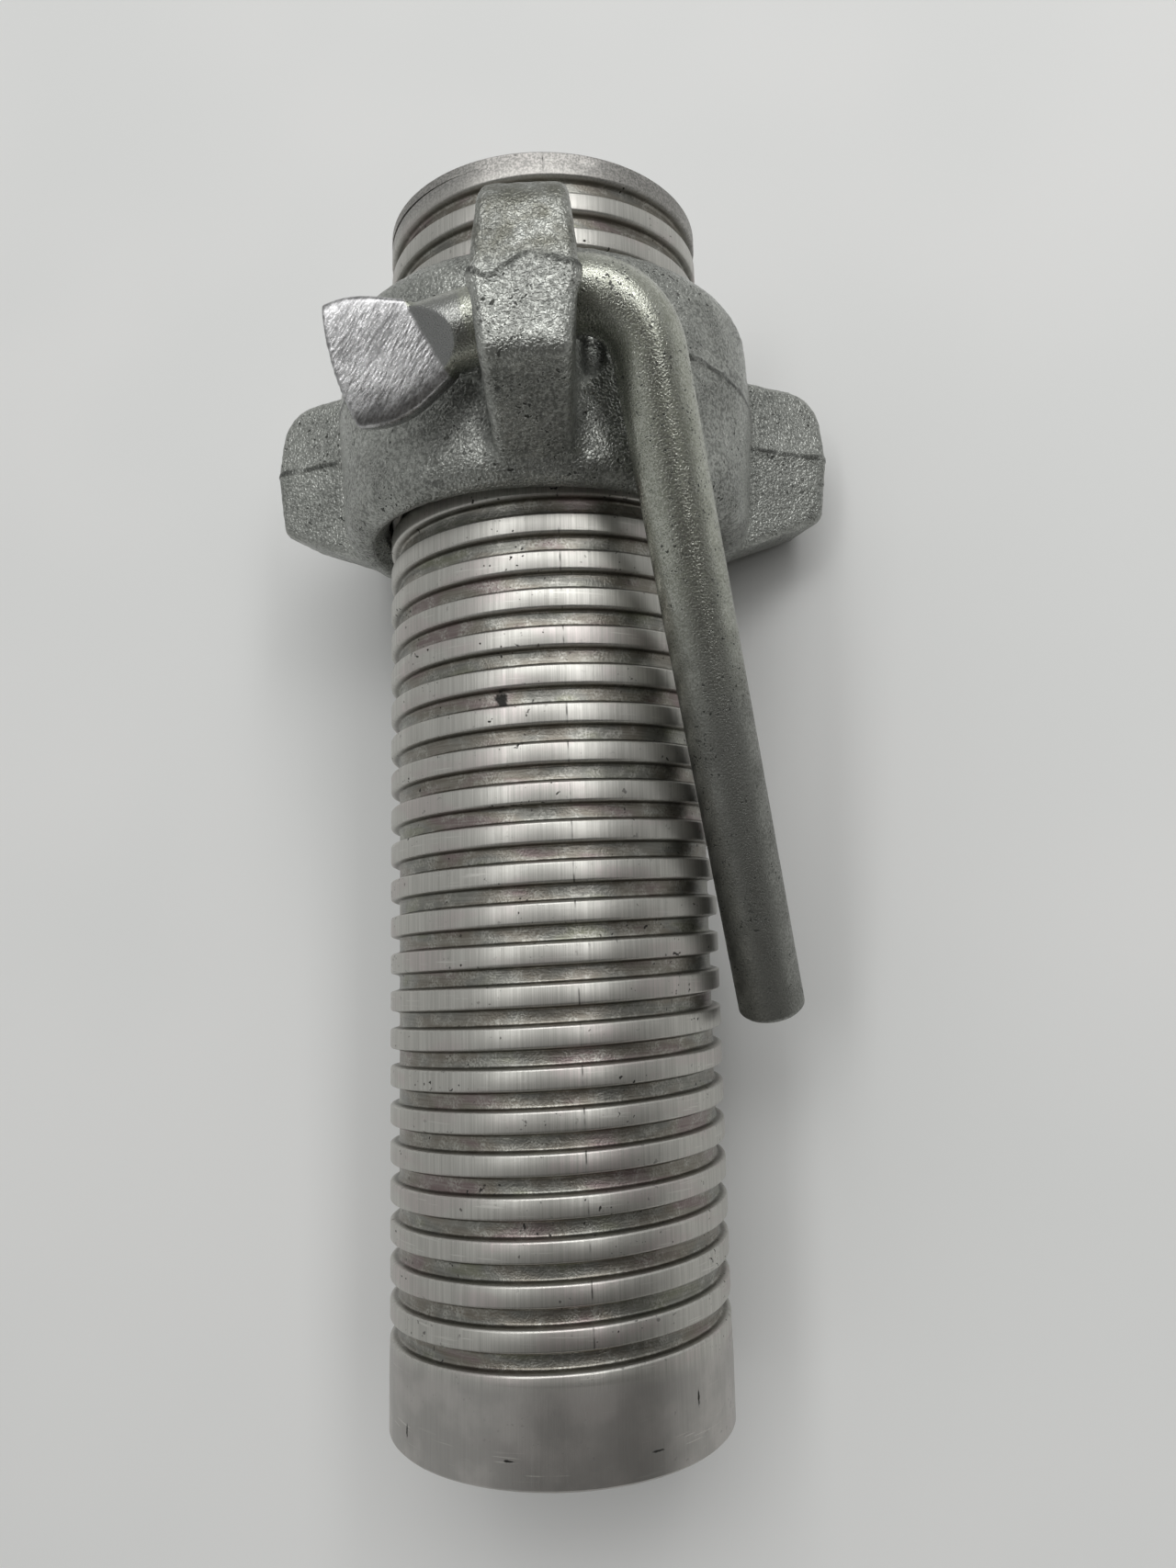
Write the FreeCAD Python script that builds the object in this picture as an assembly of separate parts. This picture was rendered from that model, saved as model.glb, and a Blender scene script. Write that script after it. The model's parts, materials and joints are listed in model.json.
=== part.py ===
import FreeCAD, Part
import os
from math import asin, atan2, ceil, copysign, cos, degrees, hypot, pi, radians, sin, tan

from FreeCAD import Placement, Rotation, Vector

# A prop's adjusting nut on its threaded sleeve, lying on a table. Sizes are in mm, angles in degrees.
# The sleeve and the nut are drawn standing on the sleeve's plain end and then laid down along +Y.
# All three pieces then lean to the side, until the nut lies on its ring and one wing.

# Threaded sleeve
SLEEVE_LENGTH = 219.5
SLEEVE_RADIUS = 30.0
SLEEVE_WALL = 5.5
SLEEVE_BORE_RADIUS = SLEEVE_RADIUS - SLEEVE_WALL
PLAIN_LENGTH = 14.9
END_CHAMFER = 0.5
THREAD_PITCH = 6.5
THREAD_DEPTH = 1.6
GROOVE_WIDTH = 3.2  # at the crests
GROOVE_FLOOR_WIDTH = 2.4
THREAD_PHASE = 0.375  # height of the first groove's middle on the +X side
ROLLING_LOSS = 0.1  # the rolled crests stand this much inside the plain end
CREST_RADIUS = SLEEVE_RADIUS - ROLLING_LOSS
ROOT_RADIUS = CREST_RADIUS - THREAD_DEPTH
THREAD_HUB_RADIUS = SLEEVE_BORE_RADIUS / 3  # inner end of the thread's helical floor, inside the bore

# Nut: a cast ring in two mould halves that meet at the parting plane
NUT_SETBACK = 39.5  # from the parting plane to the sleeve's threaded end
NUT_PARTING = SLEEVE_LENGTH - NUT_SETBACK
NUT_WALL = 9.5
NUT_RISE = 18.5
NUT_FALL = 24.0
NUT_DRAFT = 3.5
TOP_ROUNDING = 6.0
BOTTOM_ROUNDING = 5.0
RUNNING_CLEARANCE = 0.5
NUT_BORE_RADIUS = CREST_RADIUS + RUNNING_CLEARANCE
NUT_RADIUS = NUT_BORE_RADIUS + NUT_WALL
MOUTH_CHAMFER = 3.0
TOP_MOUTH_CHAMFER = 1.0

# Lugs of the nut: one with an eye and two solid wings
LUG_REACH = 19.3
LUG_TIP = NUT_RADIUS + LUG_REACH
LUG_ROOT_DEPTH = 5.9
LUG_INNER = NUT_RADIUS - LUG_ROOT_DEPTH
LUG_HALF_WIDTH = 8.5
LUG_DRAFT = 6.0
LUG_TIP_DRAFT = 3.5
EYE_LUG_RISE_AT_BODY = 17.6
EYE_LUG_RISE_AT_TIP = 17.2
WING_RISE_AT_BODY = 16.1
WING_RISE_AT_TIP = 14.7
LUG_FALL_AT_BODY = 23.0
LUG_FALL_AT_TIP = 12.7
LUG_TOP_CORNER = 8.0
LUG_LOW_CORNER = 3.0
LUG_EDGE_ROUNDING = 2.0
LUG_ROOT_ROUNDING = 3.0
WING_ANGLE = 22.4  # below level when the eye lug points straight up
EYE_INSET = 12.0
EYE_CENTRE = LUG_TIP - EYE_INSET  # from the sleeve's axis
EYE_RADIUS = 8.5
EYE_FLARE = 3.0

# Swing handle: a round bar through the eye, bent on one side and pressed to a spade on the other
BAR_RADIUS = 6.0
ARM_LENGTH = 17.2  # from the eye to the corner of the bend
LEG_LENGTH = 126.0  # from that corner to the free end
BEND_ANGLE = 94.0
BEND_RADIUS = 11.0
LEG_CHAMFER = 1.0
SPADE_START = 12.0  # from the eye to where the dies first bite
SPADE_DIE_LINE = 16.5  # from the eye to the foot of the ramp
SPADE_END = 32.5
SPADE_HALF_THICKNESS = 3.0
SPADE_SHOULDER_HALF_WIDTH = 7.0
SPADE_HALF_WIDTH = 9.6
SPADE_END_BOW = 1.2
SPADE_SQUARENESS = 8.0  # exponent of the pressed section: 2 is an ellipse, more is squarer
SPADE_TWIST = -4.0
DIE_SKEW = 16.0  # the dies stand this far out of square with the bar
RAMP_SINK = 0.1  # the ramp runs this far into the blade
BAR_END_COVER = 0.5  # from the ramp's furthest foot to the bar's end, which is buried in the blade
HANDLE_DROP_IN_EYE = 0.2  # the bar's axis below the eye's centre
HANDLE_DIP = 11.0
HANDLE_SLEW = 11.0
REST_CLEARANCE = 0.4  # between the leg and the sleeve that it leans on

SAME_PLACE = 0.01  # edges are found by where they lie, to within this
UP = Vector(0, 0, 1)
LAID_DOWN = Placement(Vector(), Rotation(Vector(1, 0, 0), -90))


def prism(points, depth):
    """Upright plate over a closed outline, centred on the plane of the outline."""
    outline = Part.Face(Part.makePolygon(points + points[:1]))
    normal = outline.normalAt(0, 0)
    outline.translate(normal * (-depth / 2))
    return outline.extrude(normal * depth)


def turned(points):
    """Ring turned about Z from an outline of (radius, height) points."""
    corners = [Vector(radius, 0, height) for radius, height in points]
    outline = Part.Face(Part.makePolygon(corners + corners[:1]))
    return outline.revolve(Vector(), UP, 360)


def thread_rail(radius, height):
    """One turn of a right-hand helix that starts on the +X side."""
    rail = Part.makeHelix(THREAD_PITCH, THREAD_PITCH, radius).Edges[0]
    rail.translate(UP * height)
    return rail


def threaded_rod():
    """Rod with the thread, made as strips between helical rails, so that every turn copies the first."""
    foot = -GROOVE_WIDTH / 2
    section = [
        (CREST_RADIUS, foot),
        (ROOT_RADIUS, -GROOVE_FLOOR_WIDTH / 2),
        (ROOT_RADIUS, GROOVE_FLOOR_WIDTH / 2),
        (CREST_RADIUS, GROOVE_WIDTH / 2),
        (CREST_RADIUS, foot + THREAD_PITCH),
    ]
    rails = [thread_rail(radius, height) for radius, height in section]
    hub_rails = [thread_rail(THREAD_HUB_RADIUS, height) for height in (foot, foot + THREAD_PITCH)]
    strips = [Part.makeRuledSurface(low, high) for low, high in zip(rails, rails[1:])]
    strips.append(Part.makeRuledSurface(hub_rails[0], hub_rails[1]))
    floor = Part.makeRuledSurface(hub_rails[0], rails[0])
    corners = [Vector(radius, 0, height) for radius, height in section]
    corners += [Vector(THREAD_HUB_RADIUS, 0, foot + THREAD_PITCH), Vector(THREAD_HUB_RADIUS, 0, foot)]
    step = Part.Face(Part.makePolygon(corners + corners[:1]))
    turns = ceil(SLEEVE_LENGTH / THREAD_PITCH) + 1
    faces = []
    for turn in range(turns):
        faces += [strip.translated(UP * (turn * THREAD_PITCH)) for strip in strips]
    for end in (0, turns * THREAD_PITCH):
        faces += [floor.translated(UP * end), step.translated(UP * end)]
    shell = Part.makeShell(faces)
    shell.sewShape()
    rod = Part.makeSolid(shell)
    if rod.Volume < 0:
        rod.reverse()
    return rod.translated(UP * THREAD_PHASE)


def threaded_sleeve():
    thread_foot = PLAIN_LENGTH - THREAD_DEPTH
    envelope = turned([
        (SLEEVE_BORE_RADIUS, thread_foot),
        (SLEEVE_RADIUS, thread_foot),
        (SLEEVE_RADIUS, SLEEVE_LENGTH - END_CHAMFER),
        (SLEEVE_RADIUS - END_CHAMFER, SLEEVE_LENGTH),
        (SLEEVE_BORE_RADIUS, SLEEVE_LENGTH),
    ])
    plain_end = turned([
        (SLEEVE_BORE_RADIUS, 0),
        (SLEEVE_RADIUS - END_CHAMFER, 0),
        (SLEEVE_RADIUS, END_CHAMFER),
        (SLEEVE_RADIUS, PLAIN_LENGTH),
        (SLEEVE_BORE_RADIUS, PLAIN_LENGTH),
    ])
    return threaded_rod().common(envelope).fuse(plain_end)


def nut_body_half(height, rounding):
    """Upper or lower half of the ring, solid so far, with its outer end edge rounded."""
    end_radius = NUT_RADIUS - abs(height) * tan(radians(NUT_DRAFT))
    half = turned([(0, 0), (NUT_RADIUS, 0), (end_radius, height), (0, height)])
    end_edges = [edge for edge in half.Edges if edge.Closed and abs(edge.CenterOfMass.z - height) < SAME_PLACE]
    return half.makeFillet(rounding, end_edges)


def lug_half(at_body, at_tip, corner):
    """Upper or lower half of a lug along +X, drafted away from the parting plane, with soft edges."""
    corner_reach = LUG_TIP - abs(at_tip) * tan(radians(LUG_TIP_DRAFT))
    outline = [
        Vector(LUG_INNER, 0, 0),
        Vector(LUG_TIP, 0, 0),
        Vector(corner_reach, 0, at_tip),
        Vector(LUG_INNER, 0, at_body),
    ]
    plate = prism(outline, 2 * LUG_HALF_WIDTH)
    corner_edges = [
        edge for edge in plate.Edges
        if all(abs(v.X - corner_reach) < SAME_PLACE and abs(v.Z - at_tip) < SAME_PLACE for v in edge.Vertexes)
    ]
    plate = plate.makeFillet(corner, corner_edges)
    far = copysign(NUT_FALL, at_tip)
    far_half_width = LUG_HALF_WIDTH - NUT_FALL * tan(radians(LUG_DRAFT))
    middle = (LUG_INNER + LUG_TIP) / 2
    wedge = prism([
        Vector(middle, -LUG_HALF_WIDTH, 0),
        Vector(middle, LUG_HALF_WIDTH, 0),
        Vector(middle, far_half_width, far),
        Vector(middle, -far_half_width, far),
    ], 2 * LUG_TIP)
    drafted = plate.common(wedge)
    side_edges = [
        edge for edge in drafted.Edges
        if max(abs(v.Z) for v in edge.Vertexes) > SAME_PLACE
        and max(v.X for v in edge.Vertexes) > LUG_INNER + SAME_PLACE
        and abs(sum(copysign(1, v.Y) for v in edge.Vertexes)) == len(edge.Vertexes)
    ]
    return drafted.makeFillet(LUG_EDGE_ROUNDING, side_edges)


def eye_cutter():
    """Hole of the eye along X, widened at both mouths."""
    flare_start = LUG_HALF_WIDTH - EYE_FLARE
    mouth_radius = EYE_RADIUS + EYE_FLARE
    flare_middle = EYE_FLARE * sin(radians(45))
    beyond = LUG_HALF_WIDTH + EYE_FLARE
    edges = [Part.makeLine(Vector(-flare_start, EYE_RADIUS, 0), Vector(flare_start, EYE_RADIUS, 0))]
    for side in (1, -1):
        foot = Vector(side * flare_start, EYE_RADIUS, 0)
        bow = Vector(side * (flare_start + flare_middle), mouth_radius - flare_middle, 0)
        mouth = Vector(side * LUG_HALF_WIDTH, mouth_radius, 0)
        outside = Vector(side * beyond, mouth_radius, 0)
        axis = Vector(side * beyond, 0, 0)
        edges.append(Part.Arc(foot, bow, mouth).toShape())
        edges.append(Part.makeLine(mouth, outside))
        edges.append(Part.makeLine(outside, axis))
    edges.append(Part.makeLine(Vector(-beyond, 0, 0), Vector(beyond, 0, 0)))
    outline = Part.Face(Part.Wire(Part.__sortEdges__(edges)))
    cutter = outline.revolve(Vector(), Vector(1, 0, 0), 360)
    cutter.translate(Vector(0, -EYE_CENTRE, 0))
    return cutter


def nut_half(height, rounding, eye_lug, wing):
    """Upper or lower half of the casting, with the lugs' sides running softly into the ring."""
    half = nut_body_half(height, rounding)
    for lug, angle in ((eye_lug, -90), (wing, WING_ANGLE), (wing, 180 - WING_ANGLE)):
        half = half.fuse(lug.rotated(Vector(), UP, angle))
    root_edges = [
        edge for edge in half.Edges
        if isinstance(edge.Curve, Part.Ellipse)
        and all(hypot(v.X, v.Y) < NUT_RADIUS + SAME_PLACE for v in edge.Vertexes)
    ]
    return half.makeFillet(LUG_ROOT_ROUNDING, root_edges)


def prop_nut():
    eye_lug = lug_half(EYE_LUG_RISE_AT_BODY, EYE_LUG_RISE_AT_TIP, LUG_TOP_CORNER)
    wing = lug_half(WING_RISE_AT_BODY, WING_RISE_AT_TIP, LUG_TOP_CORNER)
    low_lug = lug_half(-LUG_FALL_AT_BODY, -LUG_FALL_AT_TIP, LUG_LOW_CORNER)
    upper = nut_half(NUT_RISE, TOP_ROUNDING, eye_lug, wing)
    lower = nut_half(-NUT_FALL, BOTTOM_ROUNDING, low_lug, low_lug)
    mouth_radius = NUT_BORE_RADIUS + MOUTH_CHAMFER
    bore = turned([
        (0, -NUT_FALL),
        (mouth_radius, -NUT_FALL),
        (NUT_BORE_RADIUS, -NUT_FALL + MOUTH_CHAMFER),
        (NUT_BORE_RADIUS, NUT_RISE - TOP_MOUTH_CHAMFER),
        (NUT_BORE_RADIUS + TOP_MOUTH_CHAMFER, NUT_RISE),
        (0, NUT_RISE),
    ])
    nut = upper.fuse(lower).cut(bore).cut(eye_cutter())
    return nut.translated(UP * NUT_PARTING)


def pressed_section(reach, half_width, skew):
    """Closed section across the blade, a rounded rectangle between two pressed faces."""
    count = 32
    points = []
    for index in range(count):
        angle = 2 * pi * index / count
        across = copysign(half_width * abs(cos(angle)) ** (2 / SPADE_SQUARENESS), cos(angle))
        over = copysign(SPADE_HALF_THICKNESS * abs(sin(angle)) ** (2 / SPADE_SQUARENESS), sin(angle))
        points.append(Vector(-reach, across, over))
    curve = Part.BSplineCurve()
    curve.interpolate(Points=points, PeriodicFlag=True)
    return Part.Wire(curve.toShape()).rotated(Vector(-reach, 0, 0), UP, skew)


def spade_blade():
    """Blade that starts inside the bar, comes out of it at a shoulder and widens to a bowed end."""
    root_half_width = (BAR_RADIUS ** 2 - SPADE_HALF_THICKNESS ** 2) ** 0.5
    blade = Part.makeLoft([
        pressed_section((SPADE_START + SPADE_DIE_LINE) / 2, root_half_width, DIE_SKEW),
        pressed_section(SPADE_DIE_LINE, SPADE_SHOULDER_HALF_WIDTH, DIE_SKEW),
        pressed_section(SPADE_END, SPADE_HALF_WIDTH, 0),
    ], True, True)
    bow_radius = (SPADE_HALF_WIDTH ** 2 + SPADE_END_BOW ** 2) / (2 * SPADE_END_BOW)
    disc_foot = Vector(bow_radius - SPADE_END, 0, -2 * BAR_RADIUS)
    return blade.common(Part.makeCylinder(bow_radius, 4 * BAR_RADIUS, disc_foot))


def pressing_die(side):
    """Die over one side of the blade, 1 or -1, whose slope leaves the ramp on the round bar."""
    foot = SPADE_HALF_THICKNESS - RAMP_SINK
    die = prism([
        Vector(-SPADE_START, 0, side * BAR_RADIUS),
        Vector(-SPADE_DIE_LINE, 0, side * foot),
        Vector(-SPADE_END, 0, side * foot),
        Vector(-SPADE_END, 0, side * 2 * BAR_RADIUS),
        Vector(-SPADE_START, 0, side * 2 * BAR_RADIUS),
    ], 4 * BAR_RADIUS)
    return die.rotated(Vector(-SPADE_DIE_LINE, 0, 0), UP, DIE_SKEW)


def leg_direction():
    turn = radians(BEND_ANGLE)
    return Vector(cos(turn), -sin(turn), 0)


def bent_bar():
    """Round bar from inside the spade through the eye, round the bend and down the leg."""
    turn = radians(BEND_ANGLE)
    setback = BEND_RADIUS * tan(turn / 2)
    corner = Vector(ARM_LENGTH, 0, 0)
    start = Vector(-SPADE_DIE_LINE - BAR_RADIUS * tan(radians(DIE_SKEW)) - BAR_END_COVER, 0, 0)
    bend_start = corner - Vector(setback, 0, 0)
    bend_end = corner + leg_direction() * setback
    bend_centre = bend_start - Vector(0, BEND_RADIUS, 0)
    bend_middle = bend_centre + Vector(sin(turn / 2), cos(turn / 2), 0) * BEND_RADIUS
    end = corner + leg_direction() * LEG_LENGTH
    path = Part.Wire([
        Part.makeLine(start, bend_start),
        Part.Arc(bend_start, bend_middle, bend_end).toShape(),
        Part.makeLine(bend_end, end),
    ])
    section = Part.Wire(Part.makeCircle(BAR_RADIUS, start, Vector(1, 0, 0)))
    bar = path.makePipeShell([section], True, False)
    end_edges = [edge for edge in bar.Edges if (edge.CenterOfMass - end).Length < SAME_PLACE]
    return bar.makeChamfer(LEG_CHAMFER, end_edges)


def handle_placement(swing):
    """Handle in the eye, tipped and slewed as far as the loose eye lets it, with its leg swung down."""
    turn = Rotation(Vector(0, 0, 1), HANDLE_SLEW)
    turn = turn.multiply(Rotation(Vector(0, 1, 0), -HANDLE_DIP))
    turn = turn.multiply(Rotation(Vector(1, 0, 0), swing))
    return Placement(Vector(0, NUT_PARTING, EYE_CENTRE - HANDLE_DROP_IN_EYE), turn)


def leg_gap(swing):
    """Gap between the leg and the sleeve at a swing angle."""
    place = handle_placement(swing)
    corner = place.multVec(Vector(ARM_LENGTH, 0, 0))
    across = place.Rotation.multVec(leg_direction()).cross(Vector(0, 1, 0))
    return corner.dot(across) / across.Length - BAR_RADIUS - SLEEVE_RADIUS


def rest_swing():
    """Swing angle at which the leg comes to lean on the sleeve, found by halving the range."""
    clear, touching = 0.0, 90.0
    for halving in range(40):
        middle = (clear + touching) / 2
        if leg_gap(middle) > REST_CLEARANCE:
            clear = middle
        else:
            touching = middle
    return clear


def swing_handle():
    axis = Vector(1, 0, 0)
    handle = bent_bar()
    for side in (1, -1):
        handle = handle.cut(pressing_die(side).rotated(Vector(), axis, SPADE_TWIST))
    return handle.fuse(spade_blade().rotated(Vector(), axis, SPADE_TWIST))


def lean():
    """Roll about the sleeve that brings the wing beside the leg down level with the ring's underside."""
    reach = LUG_TIP - LUG_EDGE_ROUNDING
    half_width = LUG_HALF_WIDTH - LUG_EDGE_ROUNDING
    drop = NUT_RADIUS - LUG_EDGE_ROUNDING
    lying_wing_angle = degrees(asin(drop / hypot(reach, half_width)) - atan2(half_width, reach))
    return Placement(Vector(), Rotation(Vector(0, 1, 0), lying_wing_angle - WING_ANGLE))


def at_rest(shape, place):
    """Shape moved to its place in the assembly, which then leans as it lies."""
    shape.Placement = lean().multiply(place).multiply(shape.Placement)
    return shape


os.makedirs("parts", exist_ok=True)
at_rest(threaded_sleeve(), LAID_DOWN).exportStep("parts/threaded_sleeve.step")
at_rest(prop_nut(), LAID_DOWN).exportStep("parts/prop_nut.step")
at_rest(swing_handle(), handle_placement(rest_swing())).exportStep("parts/swing_handle.step")
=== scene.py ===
import json
from math import atan2, cos, exp, pi, radians, sin, tan, tau

import bmesh
import bpy
from mathutils import Matrix, Vector, noise


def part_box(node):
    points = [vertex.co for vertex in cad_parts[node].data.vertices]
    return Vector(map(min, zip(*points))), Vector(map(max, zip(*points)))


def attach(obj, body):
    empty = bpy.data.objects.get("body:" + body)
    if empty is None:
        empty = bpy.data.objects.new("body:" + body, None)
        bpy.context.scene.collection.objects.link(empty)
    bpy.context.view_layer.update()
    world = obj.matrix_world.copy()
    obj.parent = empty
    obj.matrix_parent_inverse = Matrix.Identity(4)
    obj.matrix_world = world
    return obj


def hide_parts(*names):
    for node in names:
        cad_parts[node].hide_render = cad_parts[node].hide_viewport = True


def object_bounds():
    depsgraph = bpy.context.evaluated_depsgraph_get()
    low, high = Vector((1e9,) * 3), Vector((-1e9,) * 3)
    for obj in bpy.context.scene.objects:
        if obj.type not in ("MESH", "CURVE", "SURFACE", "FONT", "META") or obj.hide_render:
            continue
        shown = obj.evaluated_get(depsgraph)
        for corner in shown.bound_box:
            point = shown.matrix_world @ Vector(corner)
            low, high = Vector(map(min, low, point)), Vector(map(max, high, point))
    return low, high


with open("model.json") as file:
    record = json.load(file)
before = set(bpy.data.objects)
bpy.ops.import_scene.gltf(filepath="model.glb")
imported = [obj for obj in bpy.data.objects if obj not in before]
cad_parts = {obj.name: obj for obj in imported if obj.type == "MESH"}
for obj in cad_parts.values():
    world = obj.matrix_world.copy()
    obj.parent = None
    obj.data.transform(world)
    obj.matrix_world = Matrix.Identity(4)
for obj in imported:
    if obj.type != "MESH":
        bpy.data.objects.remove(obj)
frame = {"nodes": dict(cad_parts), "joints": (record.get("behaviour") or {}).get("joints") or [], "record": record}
cad_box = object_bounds()

# Threaded sleeve
# A drawn steel tube with a coarse right-hand thread rolled into it. The crests are rubbed bright, the
# grooves are stained, and the plain end is left smooth, to be welded to the prop's outer tube.
MM = 0.001
SWING_AXIS = Vector(frame["joints"][1]["axis"])
LEAN_ANGLE = atan2(SWING_AXIS.z, -SWING_AXIS.x)  # the object lies on one wing, so that its eye lug leans
LEAN = Matrix.Rotation(LEAN_ANGLE, 4, "Y")
SLEEVE_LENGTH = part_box("threaded_sleeve")[1].y
SLEEVE_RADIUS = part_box("threaded_sleeve")[1].x
BORE_RADIUS = frame["record"]["mounts"][0]["dims"]["r_mm"] * MM
PLAIN_LENGTH = 14.9 * MM
ROLLING_LOSS = 0.1 * MM  # the rolled crests stand this much inside the plain end
THREAD_DEPTH = 1.6 * MM
CREST_RADIUS = SLEEVE_RADIUS - ROLLING_LOSS
ROOT_RADIUS = CREST_RADIUS - THREAD_DEPTH
PITCH = 6.5 * MM
GROOVE_WIDTH = 3.2 * MM
GROOVE_FLOOR_WIDTH = 2.4 * MM
LOWEST_GROOVE = 5.25 * MM  # middle of a groove on the upper side, below where the thread is cut off
CREST_WEAR = 0.35 * MM
FLOOR_ROUNDING = 0.35 * MM
END_ROUNDING = 0.4 * MM
FAR_BAND = 2.0 * MM  # the thread stops this far short of the far end
THREAD_RUN_OUT = 4.0 * MM  # the rolled crests rise to the plain end over this length
STEPS_PER_TURN = 128
MERGE_GAP = 0.001 * MM
TURN_MERGE_GAP = 0.005 * MM
SEAM_MIDDLE = 7.0 * MM  # the tube's drawn seam is this far to the side at the plain end
SEAM_SLANT = 0.0245
SEAM_HALF_WIDTH = 0.09 * MM
STEEL_PALE = (0.57, 0.56, 0.525, 1)
STEEL_DULL = (0.40, 0.392, 0.365, 1)
STEEL_ROSE = (0.55, 0.50, 0.485, 1)
PLAIN_GREY = (0.36, 0.347, 0.333, 1)
PLAIN_PALE = (0.46, 0.44, 0.422, 1)
FAR_DULL = (0.24, 0.237, 0.225, 1)
GROOVE_GREY = (0.175, 0.174, 0.158, 1)
GROOVE_BROWN = (0.175, 0.158, 0.132, 1)
GROOVE_OLIVE = (0.178, 0.182, 0.135, 1)
GROOVE_ROSE = (0.195, 0.15, 0.148, 1)
GROOVE_WORN = (0.46, 0.455, 0.415, 1)
# painted shade on the grooves' flanks, down in the recess of the thread
FLANK_PAINTED_SHADE = (0.14, 0.132, 0.115, 1)
NICK_DARK = (0.05, 0.048, 0.045, 1)
GROOVE_TINTS = (  # a tint starts at the first share of the stain's pattern and is full at the second
    (0.3, 0.42, GROOVE_GREY),
    (0.42, 0.54, GROOVE_BROWN),
    (0.56, 0.68, GROOVE_ROSE),
)
AXIAL_LINES = (8000, 90, 8000)  # patterns to the metre along X, Y and Z
ROUND_LINES = (160, 4200, 160)
SCRATCHES = (130, 2600, 130)
STAINS = (70, 200, 70)
SPECKLES = 2600.0  # patterns to the metre, every way
PITS = 1100.0
RAGGED_EDGES = 900.0
WORN_SPOTS = 420.0
SEAM_BREAKS = 300.0
MOTTLES = 130.0
LINE_DEPTH = 0.008 * MM
STEEL_ROUGHNESS = 0.43
LENGTHWAYS = (3, 0.6, 3)  # how much a knock is narrowed along X, Y and Z
ROUND_THE_TUBE = (0.8, 4, 0.8)
BOTH_WAYS = (0.7, 0.5, 0.7)
MARKS = (  # knocks: angle from the top in degrees, mm from the plain end, mm deep, and their shape
    (-54, 4.6, 0, LENGTHWAYS),
    (-13, 4.3, 0, ROUND_THE_TUBE),
    (32, 4.1, 0, ROUND_THE_TUBE),
    (49, 10.0, 0, LENGTHWAYS),
    (-14, 121.7, 1.6, BOTH_WAYS),
)
MARK_REACH = 0.7 * MM
BORE_GREY = (0.24, 0.235, 0.225, 1)


def only(kind, geometry):
    return [item for item in geometry if isinstance(item, kind)]


def thread_turn(shape):
    """One turn of the thread: half a crest, the groove and half a crest, spun along a helix."""
    section = [
        (-PITCH / 2, CREST_RADIUS),
        (-GROOVE_WIDTH / 2, CREST_RADIUS),
        (-GROOVE_FLOOR_WIDTH / 2, ROOT_RADIUS),
        (GROOVE_FLOOR_WIDTH / 2, ROOT_RADIUS),
        (GROOVE_WIDTH / 2, CREST_RADIUS),
        (PITCH / 2, CREST_RADIUS),
    ]
    points = [shape.verts.new((0, LOWEST_GROOVE + along, radius)) for along, radius in section]
    for pair in zip(points, points[1:]):
        shape.edges.new(pair)
    crest_corners = [points[1], points[4]]
    floor_corners = [points[2], points[3]]
    for corners, rounding in ((crest_corners, CREST_WEAR), (floor_corners, FLOOR_ROUNDING)):
        bmesh.ops.bevel(
            shape, geom=corners, affect="VERTICES", offset=rounding, segments=3, profile=0.5, material=-1
        )
    bmesh.ops.spin(
        shape, geom=shape.verts[:] + shape.edges[:], cent=(0, 0, 0), axis=(0, 1, 0), angle=tau,
        dvec=(0, PITCH / STEPS_PER_TURN, 0), steps=STEPS_PER_TURN, use_merge=False, use_duplicate=False,
    )


def thread_column(shape):
    """Turns stacked past both ends of the thread and sewn together."""
    turn = shape.verts[:] + shape.edges[:] + shape.faces[:]
    count = int((SLEEVE_LENGTH - LOWEST_GROOVE) / PITCH) + 2
    for number in range(1, count):
        copied = bmesh.ops.duplicate(shape, geom=turn)["geom"]
        bmesh.ops.translate(shape, verts=only(bmesh.types.BMVert, copied), vec=(0, number * PITCH, 0))
    bmesh.ops.remove_doubles(shape, verts=shape.verts, dist=TURN_MERGE_GAP)


def cut_end(shape, height, side):
    """Cuts the column square at a height and gives the rim of the cut."""
    cut = bmesh.ops.bisect_plane(
        shape, geom=shape.verts[:] + shape.edges[:] + shape.faces[:], dist=MERGE_GAP,
        plane_co=(0, height, 0), plane_no=(0, side, 0), clear_outer=True,
    )
    return only(bmesh.types.BMEdge, cut["geom_cut"])


def run_rim(shape, rim, height, radius):
    """Runs a rim on to another height and radius, and gives the new rim."""
    grown = bmesh.ops.extrude_edge_only(shape, edges=rim)["geom"]
    points = set(only(bmesh.types.BMVert, grown))
    for point in points:
        out = Vector((point.co.x, 0, point.co.z)).normalized()
        point.co = out * radius + Vector((0, height, 0))
    return [edge for edge in only(bmesh.types.BMEdge, grown) if set(edge.verts) <= points]


def far_end(shape):
    """Closes the thread with the far band, and gives the rim of the bore."""
    rim = cut_end(shape, SLEEVE_LENGTH - FAR_BAND, 1)
    for height, radius in (
        (SLEEVE_LENGTH - FAR_BAND, CREST_RADIUS),
        (SLEEVE_LENGTH - END_ROUNDING, CREST_RADIUS),
        (SLEEVE_LENGTH, CREST_RADIUS - END_ROUNDING),
        (SLEEVE_LENGTH, BORE_RADIUS + END_ROUNDING),
        (SLEEVE_LENGTH - END_ROUNDING, BORE_RADIUS),
    ):
        rim = run_rim(shape, rim, height, radius)
    return rim


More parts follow.
